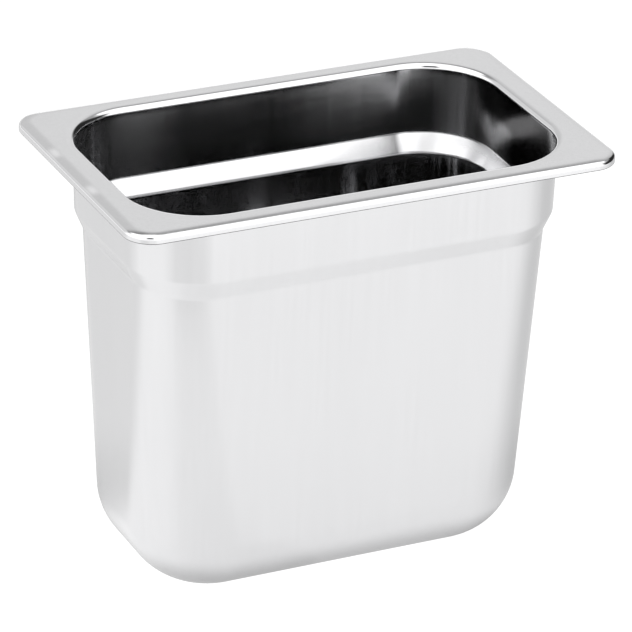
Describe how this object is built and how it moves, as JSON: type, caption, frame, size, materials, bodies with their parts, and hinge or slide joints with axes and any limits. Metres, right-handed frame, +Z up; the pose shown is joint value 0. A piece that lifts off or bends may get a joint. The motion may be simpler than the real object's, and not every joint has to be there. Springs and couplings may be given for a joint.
{
  "type": "food pan",
  "caption": "Deep rectangular stainless steel food pan with a flat rim, a turned-down lip, a stacking shoulder and a round-edged base.",
  "frame": {"origin": "middle of the base's underside, on the surface that the pan stands on", "axes": "+X along the long side, +Y along the short side, +Z up, out of the opening"},
  "size_m": [0.176, 0.108, 0.15],
  "materials": {
    "stainless_steel": "satin outside, with a fine vertical draw grain; smoother and brighter rim, lip and inside"
  },
  "bodies": {
    "root": {"pan": "stainless_steel"}
  },
  "joints": []
}
